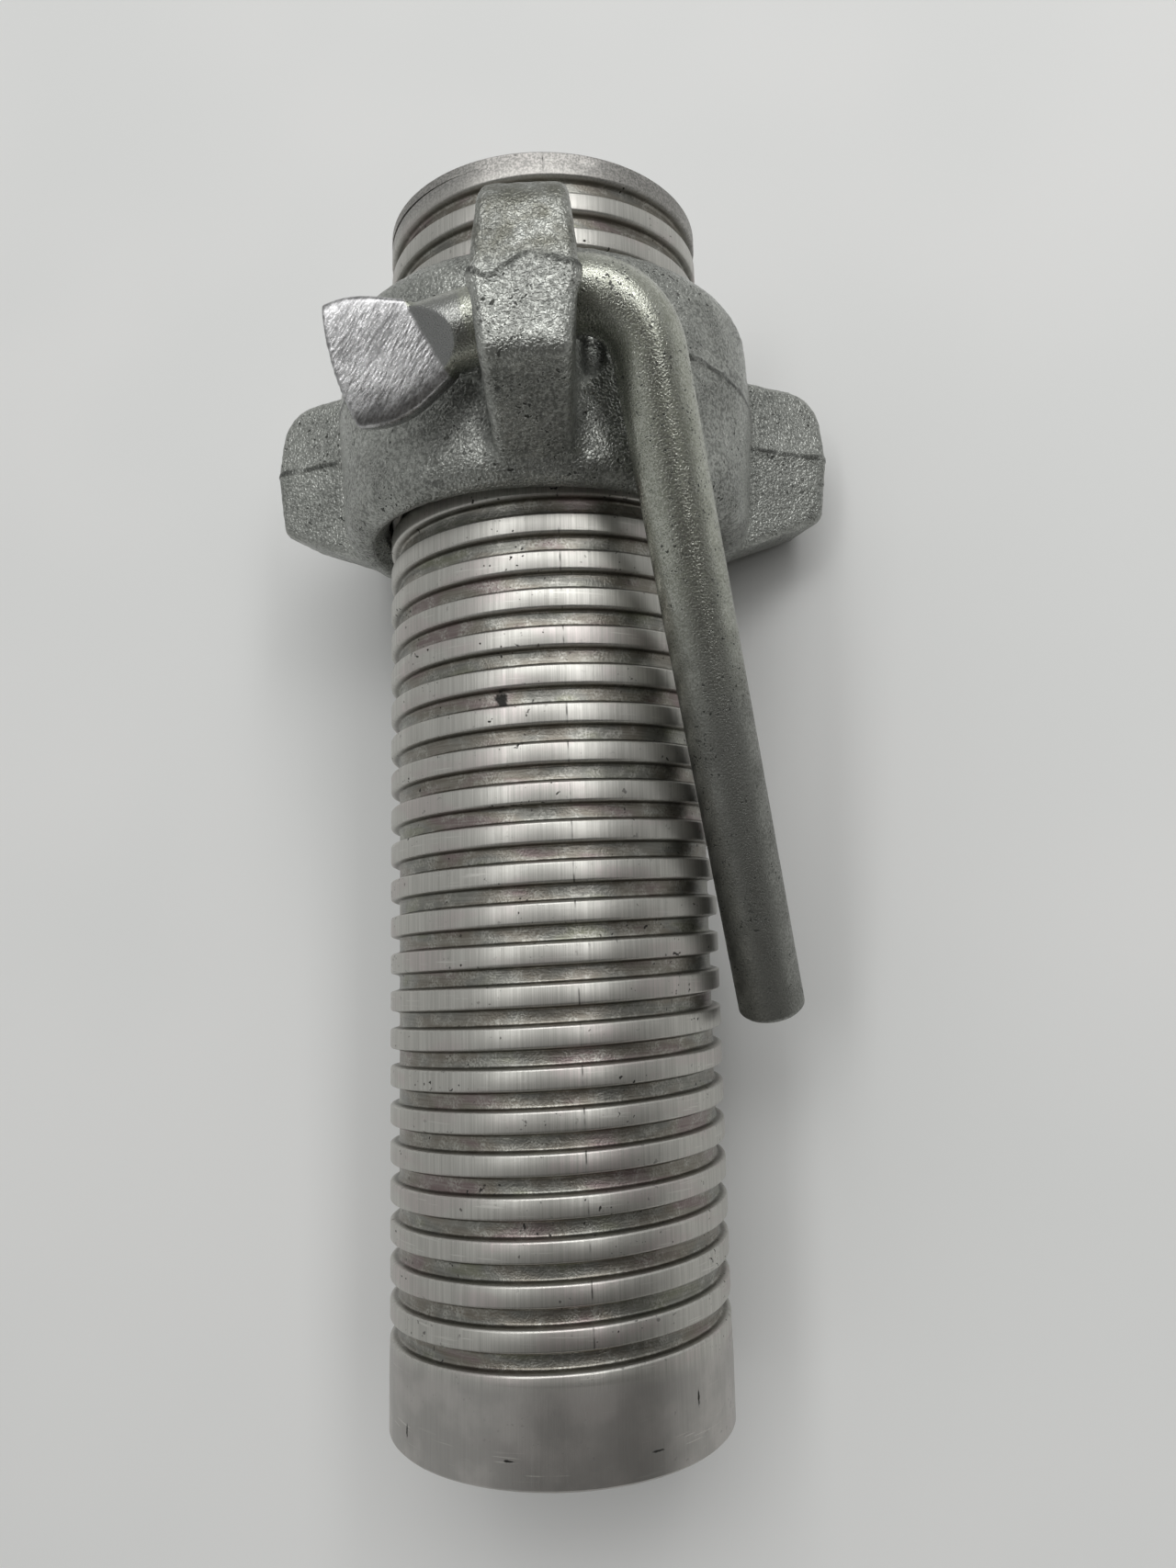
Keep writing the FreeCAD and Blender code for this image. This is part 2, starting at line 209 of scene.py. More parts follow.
def plain_end(shape):
    """Runs the thread out into the plain end, and gives the rim of the bore."""
    rim = cut_end(shape, PLAIN_LENGTH, -1)
    for height, radius in (
        (PLAIN_LENGTH, CREST_RADIUS),
        (PLAIN_LENGTH - THREAD_RUN_OUT, SLEEVE_RADIUS),
        (END_ROUNDING, SLEEVE_RADIUS),
        (0, SLEEVE_RADIUS - END_ROUNDING),
        (0, BORE_RADIUS + END_ROUNDING),
        (END_ROUNDING, BORE_RADIUS),
    ):
        rim = run_rim(shape, rim, height, radius)
    return rim


def sleeve_shape():
    shape = bmesh.new()
    thread_turn(shape)
    thread_column(shape)
    far_rim = far_end(shape)
    plain_rim = plain_end(shape)
    bmesh.ops.bridge_loops(shape, edges=plain_rim + far_rim)
    bmesh.ops.recalc_face_normals(shape, faces=shape.faces)
    bmesh.ops.rotate(shape, verts=shape.verts, cent=(0, 0, 0), matrix=LEAN)
    return shape


def finished(name, shape, body, node, crease=40):
    """Object of a finished shape, smooth but for its sharp edges, that stands for a node of the frame."""
    mesh = bpy.data.meshes.new(name)
    shape.to_mesh(mesh)
    shape.free()
    mesh.shade_smooth()
    mesh.set_sharp_from_angle(angle=radians(crease))
    piece = bpy.data.objects.new(name, mesh)
    bpy.context.scene.collection.objects.link(piece)
    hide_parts(node)
    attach(piece, body)
    return piece


def add_node(tree, kind, inputs=None, **settings):
    """Adds a shader node. Each input takes a value, or another node's output."""
    item = tree.nodes.new("ShaderNode" + kind)
    for name, value in settings.items():
        setattr(item, name, value)
    for name, value in (inputs or {}).items():
        if isinstance(value, bpy.types.NodeSocket):
            tree.links.new(value, item.inputs[name])
        else:
            item.inputs[name].default_value = value
    return item


def maths(tree, operation, *terms):
    return add_node(tree, "Math", dict(enumerate(terms)), operation=operation).outputs[0]


def fade(tree, value, start, end):
    """Rises softly from 0 to 1 as the value goes from start to end."""
    limits = {"Value": value, "From Min": start, "From Max": end}
    return add_node(tree, "MapRange", limits, interpolation_type="SMOOTHSTEP").outputs[0]


def mixed(tree, share, first, second):
    """Colour that goes from the first to the second with the share."""
    return add_node(tree, "Mix", {0: share, 6: first, 7: second}, data_type="RGBA").outputs[2]


def cloud(tree, place, scale, detail=2.0, rough=0.5):
    inputs = {"Vector": place, "Scale": scale, "Detail": detail, "Roughness": rough}
    return add_node(tree, "TexNoise", inputs).outputs["Fac"]


def stretched(tree, place, scale, turn=(0, 0, 0)):
    return add_node(tree, "Mapping", {"Vector": place, "Scale": scale, "Rotation": turn}).outputs[0]


def new_group(name, inputs, outputs):
    """Empty shader node group with its named sockets, and its two end nodes."""
    group = bpy.data.node_groups.new(name, "ShaderNodeTree")
    for socket, kind in inputs.items():
        group.interface.new_socket(name=socket, in_out="INPUT", socket_type="NodeSocket" + kind)
    for socket, kind in outputs.items():
        group.interface.new_socket(name=socket, in_out="OUTPUT", socket_type="NodeSocket" + kind)
    return group, group.nodes.new("NodeGroupInput").outputs, group.nodes.new("NodeGroupOutput").inputs


def drawn_lines_group():
    """Fine lines that a die or a roller leaves, along the way in which the place is stretched."""
    group, given, out = new_group("drawn_lines", {"Place": "Vector"}, {"Lines": "Float"})
    fine = cloud(group, given["Place"], 1.0, 3.0)
    broad = cloud(group, given["Place"], 0.22, 2.0)
    both = maths(group, "MULTIPLY_ADD", fine, 0.6, maths(group, "MULTIPLY", broad, 0.4))
    group.links.new(fade(group, both, 0.3, 0.7), out["Lines"])
    return group


def nicks_group():
    """Small dark nicks and pits, scattered in patches. A lower start gives more and larger ones."""
    sockets = {"Place": "Vector", "Scale": "Float", "Start": "Float"}
    group, given, out = new_group("nicks", sockets, {"Nicks": "Float"})
    full = maths(group, "ADD", given["Start"], 0.055)
    pits = fade(group, cloud(group, given["Place"], given["Scale"], 1.0), given["Start"], full)
    patch = maths(group, "DIVIDE", given["Scale"], 9.0)
    patches = fade(group, cloud(group, given["Place"], patch, 2.0), 0.45, 0.65)
    group.links.new(maths(group, "MULTIPLY", pits, patches), out["Nicks"])
    return group


drawn_lines = drawn_lines_group()
nicks = nicks_group()


def use_group(tree, group, inputs):
    return add_node(tree, "Group", inputs, node_tree=group).outputs


def new_material(name, metallic):
    """Material with its surface shader, and the place on the piece as if the eye lug stood straight up."""
    material = bpy.data.materials.new(name)
    material.use_nodes = True
    tree = material.node_tree
    surface = tree.nodes["Principled BSDF"]
    surface.inputs["Metallic"].default_value = metallic
    place = tree.nodes.new("ShaderNodeTexCoord").outputs["Object"]
    return material, tree, surface, stretched(tree, place, (1, 1, 1), (0, -LEAN_ANGLE, 0))


def raise_surface(tree, surface, height, depth):
    """Bumps the surface by a height from 0 to 1 that stands for a real depth."""
    bump = add_node(tree, "Bump", {"Height": height, "Distance": depth, "Strength": 1.0})
    tree.links.new(bump.outputs["Normal"], surface.inputs["Normal"])


def marks_mask(tree, place):
    """The few knocks that stand out on the sleeve, with ragged edges."""
    ragged = maths(tree, "MULTIPLY", cloud(tree, place, RAGGED_EDGES), 1.6)
    knocked = 0.0
    for angle, along, deep, way in MARKS:
        turn = radians(angle)
        radius = SLEEVE_RADIUS - deep * MM
        spot = (radius * sin(turn), along * MM, radius * cos(turn))
        away = add_node(tree, "VectorMath", {0: place, 1: spot}, operation="SUBTRACT").outputs[0]
        away = add_node(tree, "VectorMath", {0: away, 1: way}, operation="MULTIPLY").outputs[0]
        gap = add_node(tree, "VectorMath", {0: away}, operation="LENGTH").outputs["Value"]
        near = fade(tree, maths(tree, "MULTIPLY", gap, ragged), MARK_REACH, MARK_REACH / 2)
        knocked = maths(tree, "MAXIMUM", knocked, near)
    return knocked


def crest_steel(tree, place, axial, blotch, speckle, plain, far):
    """Colour of the crests and the smooth ends: drawn lines, rosy patches and light scratches."""
    rosy = fade(tree, blotch, 0.5, 0.65)
    colour = mixed(tree, axial, STEEL_DULL, mixed(tree, rosy, STEEL_PALE, STEEL_ROSE))
    mottle = fade(tree, cloud(tree, place, MOTTLES, 4.0), 0.4, 0.65)
    smooth_end = maths(tree, "MULTIPLY", maths(tree, "MAXIMUM", plain, far), 0.8)
    colour = mixed(tree, smooth_end, colour, mixed(tree, mottle, PLAIN_GREY, PLAIN_PALE))
    colour = mixed(tree, maths(tree, "MULTIPLY", far, speckle), colour, FAR_DULL)
    scratch_place = stretched(tree, place, SCRATCHES)
    scratches = use_group(tree, nicks, {"Place": scratch_place, "Scale": 1.0, "Start": 0.65})["Nicks"]
    return mixed(tree, scratches, colour, STEEL_PALE)


def groove_steel(tree, place, around, blotch, speckle):
    """Colour of the grooves: stained in four tints, and worn to bare steel in spots."""
    stain = GROOVE_OLIVE
    for start, full, tint in GROOVE_TINTS:
        stain = mixed(tree, fade(tree, blotch, start, full), stain, tint)
    worn = maths(tree, "MULTIPLY", speckle, fade(tree, cloud(tree, place, WORN_SPOTS, 3.0), 0.4, 0.7))
    worn = maths(tree, "MULTIPLY_ADD", around, 0.3, maths(tree, "MULTIPLY", worn, 0.6))
    return mixed(tree, worn, stain, GROOVE_WORN)


def seam_mask(tree, place, axes, groove):
    """The fine dark seam along the upper side of the thread's crests, broken in places."""
    side = maths(tree, "MULTIPLY_ADD", axes[1], SEAM_SLANT, axes[0])
    gap = maths(tree, "ABSOLUTE", maths(tree, "SUBTRACT", side, SEAM_MIDDLE))
    line = fade(tree, gap, 2 * SEAM_HALF_WIDTH, SEAM_HALF_WIDTH)
    upper_side = fade(tree, axes[2], 0, 1 * MM)
    threaded = fade(tree, axes[1], PLAIN_LENGTH, PLAIN_LENGTH + PITCH)
    broken = fade(tree, cloud(tree, place, SEAM_BREAKS), 0.4, 0.65)
    on_crest = maths(tree, "SUBTRACT", 0.8, groove)
    for limit in (upper_side, threaded, broken, on_crest):
        line = maths(tree, "MULTIPLY", line, limit)
    return line


def sleeve_zones(tree, axes):
    """Masks of the grooves, their flanks, the bore, the plain end and the far end."""
    across = add_node(tree, "CombineXYZ", {0: axes[0], 2: axes[2]}).outputs[0]
    radius = add_node(tree, "VectorMath", {0: across}, operation="LENGTH").outputs["Value"]
    groove = fade(tree, radius, CREST_RADIUS - CREST_WEAR, CREST_RADIUS - 3 * CREST_WEAR)
    flank_low = fade(tree, radius, ROOT_RADIUS + 0.05 * MM, ROOT_RADIUS + FLOOR_ROUNDING)
    flank = maths(tree, "MULTIPLY", groove, flank_low)
    bore = fade(tree, radius, BORE_RADIUS + 2 * MM, BORE_RADIUS + 1 * MM)
    plain = fade(tree, axes[1], PLAIN_LENGTH + PITCH / 4, PLAIN_LENGTH - PITCH / 4)
    far = fade(tree, axes[1], SLEEVE_LENGTH - PITCH, SLEEVE_LENGTH - FAR_BAND)
    return groove, flank, bore, plain, far


def sleeve_steel():
    material, tree, surface, place = new_material("sleeve_steel", metallic=1.0)
    axes = add_node(tree, "SeparateXYZ", {0: place}).outputs
    groove, flank, bore, plain, far = sleeve_zones(tree, axes)
    axial = use_group(tree, drawn_lines, {"Place": stretched(tree, place, AXIAL_LINES)})["Lines"]
    around = use_group(tree, drawn_lines, {"Place": stretched(tree, place, ROUND_LINES)})["Lines"]
    speckle = fade(tree, cloud(tree, place, SPECKLES, 3.0), 0.36, 0.64)
    blotch = cloud(tree, stretched(tree, place, STAINS), 1.0)
    pits = use_group(tree, nicks, {"Place": place, "Scale": PITS, "Start": 0.68})["Nicks"]
    pits = maths(tree, "MULTIPLY", pits, maths(tree, "MULTIPLY_ADD", plain, -0.7, 1.0))
    pits = maths(tree, "MAXIMUM", pits, marks_mask(tree, place))
    dents = maths(tree, "MAXIMUM", pits, seam_mask(tree, place, axes, groove))

    crests = crest_steel(tree, place, axial, blotch, speckle, plain, far)
    colour = mixed(tree, groove, crests, groove_steel(tree, place, around, blotch, speckle))
    # painted shade: the grooves' flanks are darkened
    colour = mixed(tree, maths(tree, "MULTIPLY", flank, 0.5), colour, FLANK_PAINTED_SHADE)
    colour = mixed(tree, dents, colour, NICK_DARK)
    tree.links.new(mixed(tree, bore, colour, BORE_GREY), surface.inputs["Base Color"])
    rough = maths(tree, "MULTIPLY_ADD", groove, -0.05, STEEL_ROUGHNESS)
    rough = maths(tree, "MULTIPLY_ADD", axial, -0.05, rough)
    rough = maths(tree, "MULTIPLY_ADD", far, 0.1, rough)
    rough = maths(tree, "MULTIPLY_ADD", maths(tree, "MAXIMUM", pits, bore), 0.3, rough)
    tree.links.new(rough, surface.inputs["Roughness"])
    grain = maths(tree, "MULTIPLY", maths(tree, "MULTIPLY_ADD", around, 0.5, speckle), 2.0)
    lines = add_node(tree, "Mix", {0: groove, 2: axial, 3: grain}).outputs[0]
    raise_surface(tree, surface, maths(tree, "SUBTRACT", lines, dents), LINE_DEPTH)
    return material


sleeve = finished("sleeve", sleeve_shape(), "sleeve", "threaded_sleeve")
sleeve.data.materials.append(sleeve_steel())

# Prop nut
# An iron casting made in a mould of two halves and galvanised: a ring with two wings to strike with a
# hammer and one lug with an eye for the handle. A rough ridge of flash is left where the halves met.
EYE = LEAN.inverted() @ Vector(frame["joints"][1]["pos_m"])  # as if the eye lug stood straight up
NUT_VOXEL = 0.66 * MM
SKIN_DEPTH = 0.3 * MM  # the cast skin lies up to this far inside the plain form
RIDGE_RISE = 0.3 * MM
RIDGE_HALF_WIDTH = 0.6 * MM
LUG_WAVES = (  # the parting line's bends over the eye lug: mm to the side, mm wide, mm up
    (-5.2, 2.2, -1.6),
    (1.4, 3.6, 1.7),
)
FLASH_BULGE = 0.9 * MM  # flash that stands out at both sides of the eye lug
FLASH_BULGE_WIDTH = 1.8 * MM
FLASH_BULGE_PLACE = Vector((8.4, -1.0, 9.3)) * MM  # from the eye, and mirrored to the other side
FLASH_FROM = CREST_RADIUS + 5 * MM  # no flash is left nearer to the sleeve than this radius
SKIN_WAVES = 160  # waves to the metre
SKIN_GRAINS = 700
BEND_STEPS = 16
BEND_DEPTH = 0.25 * MM
CAST_GRAIN = 1450.0  # grains to the metre
CAST_BUMP = 0.085 * MM
FLASH_BREAKS = 260.0
LUG_SHADE_PATCHES = 350.0
ZINC_PALE = (0.46, 0.47, 0.44, 1)
ZINC_DARK = (0.165, 0.17, 0.158, 1)
ZINC_RUBBED = (0.44, 0.445, 0.42, 1)
# painted shade in the nut's hollows and inner corners
HOLLOW_PAINTED_SHADE = (0.09, 0.093, 0.085, 1)
# painted shade on the far half of the eye lug's outer end
LUG_PAINTED_SHADE = (0.17, 0.17, 0.145, 1)
PIT_DARK = (0.07, 0.072, 0.066, 1)


def skinned(node, voxel, rounds):
    """Copy of a node's shape, merged, covered with a skin of small even faces and softened."""
    mesh = frame["nodes"][node].data.copy()
    mesh.materials.clear()
    shape = bmesh.new()
    shape.from_mesh(mesh)
    bmesh.ops.remove_doubles(shape, verts=shape.verts, dist=MERGE_GAP)
    shape.to_mesh(mesh)
    shape.free()
    rough_copy = bpy.data.objects.new("rough_copy", mesh)
    bpy.context.scene.collection.objects.link(rough_copy)
    skin = rough_copy.modifiers.new("skin", "REMESH")
    skin.mode = "VOXEL"
    skin.voxel_size = voxel
    soften = rough_copy.modifiers.new("soften", "SMOOTH")
    soften.factor = 0.5
    soften.iterations = rounds
    graph = bpy.context.evaluated_depsgraph_get()
    covered = bpy.data.meshes.new_from_object(rough_copy.evaluated_get(graph))
    bpy.data.objects.remove(rough_copy)
    shape = bmesh.new()
    shape.from_mesh(covered)
    bpy.data.meshes.remove(covered)
    shape.normal_update()
    return shape


def parting_height(place):
    """Height of the wavy line where the mould halves met."""
    wave = 0.5 * noise.noise(place * 130) + 0.25 * noise.noise(place * 500)
    height = EYE.y + wave * MM
    upright = LEAN.inverted() @ place
    if upright.z > EYE.z:
        for side, width, rise in LUG_WAVES:
            height += rise * MM * exp(-((upright.x / MM - side) / width) ** 2)
    return height


def bend_depths(shape):
    """How far each point stands out from a smoothed copy: more than 0 on edges and less in hollows."""
    smoothed = shape.copy()
    for _ in range(BEND_STEPS):
        bmesh.ops.smooth_vert(
            smoothed, verts=smoothed.verts, factor=0.5, use_axis_x=True, use_axis_y=True, use_axis_z=True
        )
    depths = [(sharp.co - soft.co).dot(sharp.normal) for sharp, soft in zip(shape.verts, smoothed.verts)]
    smoothed.free()
    return depths


def skin_depth(place):
    """How far the cast skin lies inside the plain form."""
    skin = 0.6 + 0.25 * noise.noise(place * SKIN_WAVES) + 0.35 * noise.noise(place * SKIN_GRAINS)
    return SKIN_DEPTH * min(max(skin, 0), 1)


def bulge_height(place):
    """How far the flash at the sides of the eye lug stands out."""
    upright = LEAN.inverted() @ place - EYE
    upright.x = abs(upright.x)
    return FLASH_BULGE * exp(-((upright - FLASH_BULGE_PLACE).length / FLASH_BULGE_WIDTH) ** 2)


def nut_shape():
    shape = skinned("prop_nut", NUT_VOXEL, 1)
    bends = bend_depths(shape)
    flash = shape.verts.layers.float.new("flash")
    bend = shape.verts.layers.float.new("bend")
    for point, depth in zip(shape.verts, bends):
        point[bend] = depth / BEND_DEPTH
    for point in shape.verts:
        place = point.co.copy()
        if place.xz.length > FLASH_FROM:
            away = (place.y - parting_height(place)) / RIDGE_HALF_WIDTH
            point[flash] = exp(-away * away)
        sunk = max(skin_depth(place) - RIDGE_RISE * point[flash], 0)
        point.co += point.normal * (bulge_height(place) - sunk)
    return shape


def zinc_skin_group():
    """Zinc on steel: pale and dark grains with dark pits, rough where it is dark."""
    sockets = {"Place": "Vector", "Grain": "Float", "Pale": "Color", "Dark": "Color", "Pit": "Color"}
    results = {"Colour": "Color", "Roughness": "Float", "Height": "Float"}
    group, given, out = new_group("zinc_skin", sockets, results)
    place = given["Place"]
    grain = given["Grain"]
    grains = fade(group, cloud(group, place, grain, 4.0, 0.7), 0.4, 0.6)
    bumps = fade(group, cloud(group, place, maths(group, "MULTIPLY", grain, 1.4), 1.0), 0.35, 0.65)
    patches = fade(group, cloud(group, place, maths(group, "DIVIDE", grain, 14.0), 3.0), 0.3, 0.7)
    pale = maths(group, "MULTIPLY_ADD", grains, 0.65, maths(group, "MULTIPLY", patches, 0.35))
    pit_scale = maths(group, "MULTIPLY", grain, 0.55)
    pits = use_group(group, nicks, {"Place": place, "Scale": pit_scale, "Start": 0.66})["Nicks"]
    small = use_group(group, nicks, {"Place": place, "Scale": grain, "Start": 0.6})["Nicks"]
    pits = maths(group, "MAXIMUM", pits, small)
    colour = mixed(group, pale, given["Dark"], given["Pale"])
    group.links.new(mixed(group, pits, colour, given["Pit"]), out["Colour"])
    rough = maths(group, "MULTIPLY_ADD", pale, -0.3, 0.52)
    group.links.new(maths(group, "MULTIPLY_ADD", pits, 0.2, rough), out["Roughness"])
    group.links.new(maths(group, "SUBTRACT", bumps, pits), out["Height"])
    return group


zinc_skin = zinc_skin_group()


def lug_shade_mask(tree, place):
    """Painted shade, in patches, on the far half of the eye lug's outer end."""
    axes = add_node(tree, "SeparateXYZ", {0: place}).outputs
    far_half = fade(tree, axes[1], EYE.y, EYE.y + 3 * MM)
    outer_end = fade(tree, axes[2], EYE.z, EYE.z + 6 * MM)
    patches = fade(tree, cloud(tree, place, LUG_SHADE_PATCHES, 4.0), 0.25, 0.7)
    return maths(tree, "MULTIPLY", maths(tree, "MULTIPLY", far_half, outer_end), patches)


def cast_zinc():
    material, tree, surface, place = new_material("cast_zinc", metallic=0.9)
    inputs = {"Place": place, "Grain": CAST_GRAIN, "Pale": ZINC_PALE, "Dark": ZINC_DARK, "Pit": PIT_DARK}
    skin = use_group(tree, zinc_skin, inputs)
    bend = add_node(tree, "Attribute", attribute_name="bend").outputs["Fac"]
    rubbed = maths(tree, "MULTIPLY", fade(tree, bend, 0.4, 1.6), 0.5)
    # painted shade: the hollows and inner corners are darkened
    hollow_shade = maths(tree, "MULTIPLY", fade(tree, bend, -0.2, -1.2), 0.5)
    flash = add_node(tree, "Attribute", attribute_name="flash").outputs["Fac"]
    broken = fade(tree, cloud(tree, place, FLASH_BREAKS), 0.2, 0.5)
    line = maths(tree, "MULTIPLY", fade(tree, flash, 0.2, 0.75), broken)
    colour = mixed(tree, rubbed, skin["Colour"], ZINC_RUBBED)
    colour = mixed(tree, hollow_shade, colour, HOLLOW_PAINTED_SHADE)
    # painted shade on the far half of the eye lug's outer end
    colour = mixed(tree, lug_shade_mask(tree, place), colour, LUG_PAINTED_SHADE)
    colour = mixed(tree, maths(tree, "MULTIPLY", line, 0.85), colour, PIT_DARK)
    tree.links.new(colour, surface.inputs["Base Color"])
    tree.links.new(skin["Roughness"], surface.inputs["Roughness"])
    raise_surface(tree, surface, skin["Height"], CAST_BUMP)
    return material


nut = finished("nut", nut_shape(), "nut", "prop_nut", crease=180)
nut.data.materials.append(cast_zinc())

# Swing handle
# A round steel bar through the nut's eye, bent to a long leg on one side and pressed flat to a spade on
# the other, so that it can't slip out. It is zinc plated; along the leg the plating is rougher, and darker with
# painted shade.
HANDLE_VOXEL = 0.32 * MM
BAR_AXIS = Vector((0.9636, 0.1873, 0.1908))  # from the spade towards the bend, as if the eye lug stood up
BLADE_ACROSS = Vector((-0.24, 0.92, 0.3))
BAR_RADIUS = 6.0 * MM
SPADE_START = 12.0 * MM
SPADE_DIE_LINE = 16.5 * MM
SPADE_END = 32.5 * MM
SPADE_MIDDLE_HALF_WIDTH = 8.3 * MM
SPADE_HALF_THICKNESS = 3.0 * MM
FAR_EDGE_BOW = 1.0 * MM  # the press has spread the spade's long edges to the sides by this much
NEAR_EDGE_BOW = 2.0 * MM
EDGE_BULGE = 0.4 * MM  # at half the spade's thickness they stand out by this much more
DIE_SKEW = radians(16)
DENT_DEPTH = 0.06 * MM
DENTS = 150  # waves to the metre
DULL_FROM = 150 * MM  # along the sleeve; the plating is fully dull from DULL_TO on
DULL_TO = 110 * MM
DULL_WANDER = 30 * MM
DULL_PATCHES = 60.0
PLATE_GRAIN = 2200.0
PLATE_BUMP = 0.025 * MM
HATCH = (450, 2200, 1200)  # hatch lines to the metre, along and across their slope and down
PLATE_PALE = (0.52, 0.53, 0.475, 1)
PLATE_DARK = (0.275, 0.282, 0.235, 1)
# the leg's plating, darkened with painted shade
LEG_SHADED_PALE = (0.31, 0.315, 0.295, 1)
LEG_SHADED_DARK = (0.17, 0.172, 0.158, 1)
SPADE_PALE = (0.60, 0.595, 0.60, 1)
SPADE_DARK = (0.26, 0.258, 0.26, 1)
RAMP_DARK = (0.25, 0.252, 0.248, 1)
SPADE_HATCH = radians(52)  # the hatch's slope across the blade, seen from above


def spread_spade(shape):
    """Bows the spade's long edges between the die's line and the end."""
    upright = LEAN.inverted()
    over = BAR_AXIS.cross(BLADE_ACROSS)
    for point in shape.verts:
        spot = upright @ point.co - EYE
        reach = -spot.dot(BAR_AXIS)
        across = spot.dot(BLADE_ACROSS)
        die_line = SPADE_DIE_LINE + across * tan(DIE_SKEW)
        share = (reach - die_line) / (SPADE_END - die_line)
        if reach > SPADE_START and 0 < share < 1:
            height = min(1, abs(spot.dot(over)) / SPADE_HALF_THICKNESS)
            bow = FAR_EDGE_BOW if across > 0 else NEAR_EDGE_BOW
            spread = (bow + EDGE_BULGE * (1 - height ** 2)) * sin(pi * share)
            point.co += LEAN @ BLADE_ACROSS * (spread * across / SPADE_MIDDLE_HALF_WIDTH)


def handle_shape():
    shape = skinned("swing_handle", HANDLE_VOXEL, 2)
    spread_spade(shape)
    shape.normal_update()
    for point in shape.verts:
        point.co -= point.normal * (DENT_DEPTH * (0.5 + 0.5 * noise.noise(point.co * DENTS)))
    return shape


def pressed_masks(tree, place):
    """Masks of the ramp that the dies left in the bar, and of the flat spade beyond it."""
    from_eye = add_node(tree, "VectorMath", {0: place, 1: EYE}, operation="SUBTRACT").outputs[0]
    ends = {0: from_eye, 1: BAR_AXIS}
    reach = add_node(tree, "VectorMath", ends, operation="DOT_PRODUCT").outputs["Value"]
    off_axis = add_node(tree, "VectorMath", ends, operation="CROSS_PRODUCT").outputs[0]
    radius = add_node(tree, "VectorMath", {0: off_axis}, operation="LENGTH").outputs["Value"]
    bitten = fade(tree, reach, -SPADE_START + 3 * MM, -SPADE_START + 2 * MM)
    inside = fade(tree, radius, BAR_RADIUS - 0.1 * MM, BAR_RADIUS - 0.3 * MM)
    square_to_die = BAR_AXIS * cos(DIE_SKEW) + BLADE_ACROSS * sin(DIE_SKEW)
    towards_die = {0: from_eye, 1: square_to_die}
    from_die = add_node(tree, "VectorMath", towards_die, operation="DOT_PRODUCT").outputs["Value"]
    die_line = -SPADE_DIE_LINE * cos(DIE_SKEW)
    beyond = fade(tree, from_die, die_line + 0.2 * MM, die_line - 0.2 * MM)
    return maths(tree, "MULTIPLY", bitten, inside), maths(tree, "MULTIPLY", bitten, beyond)


def plated_steel():
    material, tree, surface, place = new_material("plated_steel", metallic=0.95)
    plating = {"Place": place, "Grain": PLATE_GRAIN, "Pit": PIT_DARK}
    bright = use_group(tree, zinc_skin, {**plating, "Pale": PLATE_PALE, "Dark": PLATE_DARK})
    dull = use_group(tree, zinc_skin, {**plating, "Pale": LEG_SHADED_PALE, "Dark": LEG_SHADED_DARK})
    along = add_node(tree, "SeparateXYZ", {0: place}).outputs[1]
    along = maths(tree, "SUBTRACT", along, DULL_WANDER / 2)
    along = maths(tree, "MULTIPLY_ADD", cloud(tree, place, DULL_PATCHES), DULL_WANDER, along)
    # the leg is rougher here, and its darker colours are painted shade
    worn = fade(tree, along, DULL_FROM, DULL_TO)
    ramp, spade = pressed_masks(tree, place)
    hatch_place = stretched(tree, stretched(tree, place, (1, 1, 1), (0, 0, -SPADE_HATCH)), HATCH)
    hatch = use_group(tree, drawn_lines, {"Place": hatch_place})["Lines"]
    colour = mixed(tree, worn, bright["Colour"], dull["Colour"])
    colour = mixed(tree, ramp, colour, RAMP_DARK)
    colour = mixed(tree, spade, colour, mixed(tree, hatch, SPADE_DARK, SPADE_PALE))
    tree.links.new(colour, surface.inputs["Base Color"])
    rough = maths(tree, "SUBTRACT", bright["Roughness"], 0.1)
    tree.links.new(maths(tree, "MULTIPLY_ADD", worn, 0.2, rough), surface.inputs["Roughness"])
    height = add_node(tree, "Mix", {0: spade, 2: bright["Height"], 3: hatch}).outputs[0]
    raise_surface(tree, surface, height, PLATE_BUMP)
    return material


handle = finished("handle", handle_shape(), "handle", "swing_handle", crease=180)
handle.data.materials.append(plated_steel())

# Table, light and camera
# A pale table top in a room with pale walls, with three soft lamps overhead, mostly beyond the nut, and
# shade on the side of the plain end. The camera looks down on the sleeve from above its middle.
TABLE_SIZE = 6.0
TABLE_PALE = (0.74, 0.74, 0.73, 1)
TABLE_SHADE = (0.715, 0.72, 0.71, 1)
TABLE_PATCHES = 9.0
TABLE_ROUGHNESS = 0.55
ROOM_PALE = (0.48, 0.485, 0.48, 1)
ROOM_SHADE = (0.085, 0.082, 0.077, 1)
SHADE_TOWARDS = (LEAN @ Vector((0.32, -0.68, 0.66))).normalized()
SHADE_EDGE = 0.25  # cosines of the angles from there at which the shade starts and is full
SHADE_CORE = 0.9
LAMPS = (  # middle, size, and power in units of pi watts
    ((-0.83, 1.1, 1.5), (0.35, 2.3), 2.6),
    ((0.62, 1.1, 1.5), (0.35, 2.3), 3.0),
    ((0.0, 1.25, 1.5), (1.3, 0.9), 3.7),
)
CAMERA_PLACE = Vector((0.011418, 0.081054, 0.217598))
CAMERA_TILT = (0.1379, 0.021817, -0.0211)  # about X, Y and Z, in radians
CAMERA_LENS = 26.85
SENSOR_WIDTH = 36
NEAREST_SEEN = 10 * MM


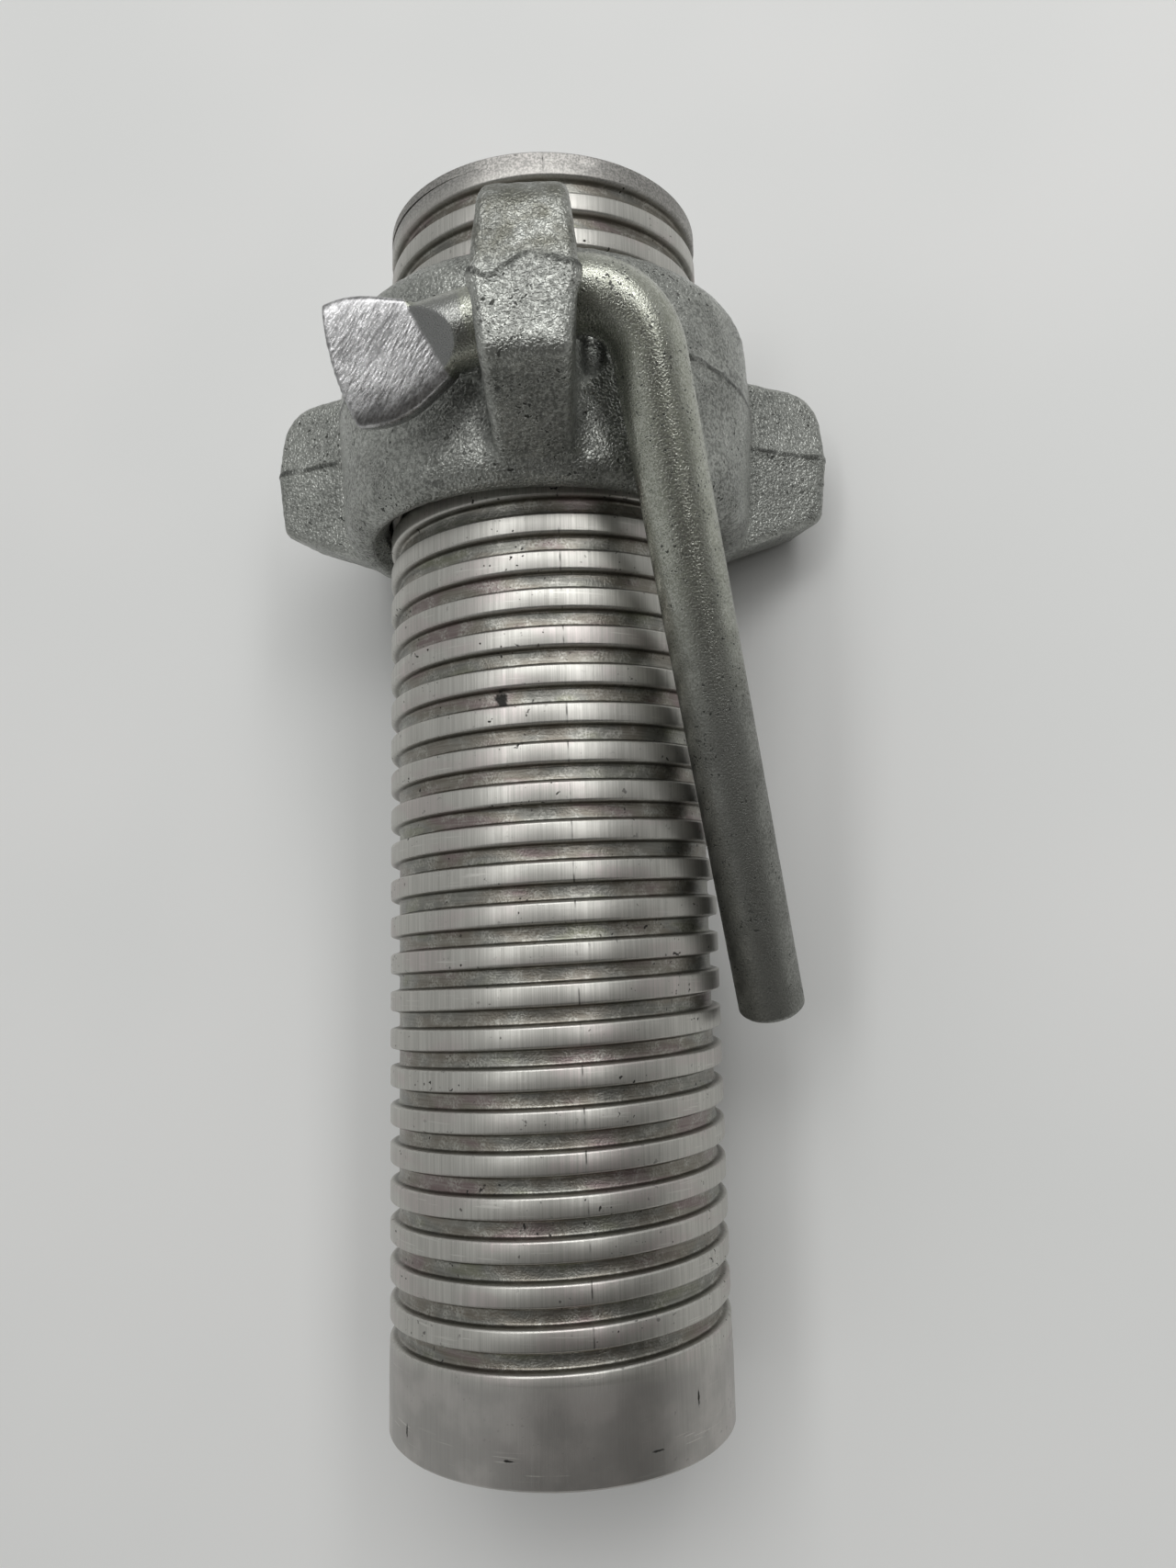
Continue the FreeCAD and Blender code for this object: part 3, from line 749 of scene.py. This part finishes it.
def table_top():
    material, tree, surface, place = new_material("table_top", metallic=0.0)
    tint = fade(tree, cloud(tree, place, TABLE_PATCHES), 0.35, 0.65)
    tree.links.new(mixed(tree, tint, TABLE_SHADE, TABLE_PALE), surface.inputs["Base Color"])
    surface.inputs["Roughness"].default_value = TABLE_ROUGHNESS
    shape = bmesh.new()
    bmesh.ops.create_grid(shape, x_segments=1, y_segments=1, size=TABLE_SIZE / 2)
    slope = atan2(cad_box[0].z + SLEEVE_RADIUS, EYE.y)
    bmesh.ops.rotate(shape, verts=shape.verts, cent=(0, 0, 0), matrix=Matrix.Rotation(slope, 3, "X"))
    bmesh.ops.translate(shape, verts=shape.verts, vec=(0, 0, -SLEEVE_RADIUS))
    mesh = bpy.data.meshes.new("table_top")
    shape.to_mesh(mesh)
    shape.free()
    mesh.materials.append(material)
    top = bpy.data.objects.new("table_top", mesh)
    bpy.context.scene.collection.objects.link(top)


def room():
    world = bpy.data.worlds.new("room")
    world.use_nodes = True
    tree = world.node_tree
    towards = tree.nodes.new("ShaderNodeTexCoord").outputs["Generated"]
    ends = {0: towards, 1: SHADE_TOWARDS}
    facing = add_node(tree, "VectorMath", ends, operation="DOT_PRODUCT").outputs["Value"]
    shade = fade(tree, facing, SHADE_EDGE, SHADE_CORE)
    tree.links.new(mixed(tree, shade, ROOM_PALE, ROOM_SHADE), tree.nodes["Background"].inputs["Color"])
    bpy.context.scene.world = world


def lamps():
    """Two long lamps that run side by side over the table, mostly beyond the nut, and a wide one there."""
    for middle, size, power in LAMPS:
        light = bpy.data.lights.new("lamp", "AREA")
        light.shape = "RECTANGLE"
        light.size, light.size_y = size
        light.energy = power * pi
        piece = bpy.data.objects.new("lamp", light)
        piece.matrix_world = LEAN @ Matrix.Translation(middle)
        bpy.context.scene.collection.objects.link(piece)


def camera():
    view = bpy.data.cameras.new("camera")
    view.lens = CAMERA_LENS
    view.sensor_width = SENSOR_WIDTH
    view.clip_start = NEAREST_SEEN
    about_x, about_y, about_z = CAMERA_TILT
    turn = Matrix.Rotation(about_y, 4, "Y") @ Matrix.Rotation(about_x, 4, "X")
    turn = turn @ Matrix.Rotation(about_z, 4, "Z")
    piece = bpy.data.objects.new("camera", view)
    piece.matrix_world = LEAN @ Matrix.Translation(CAMERA_PLACE) @ turn
    bpy.context.scene.collection.objects.link(piece)
    bpy.context.scene.camera = piece


table_top()
room()
lamps()
camera()
bpy.context.scene.view_settings.view_transform = "Standard"
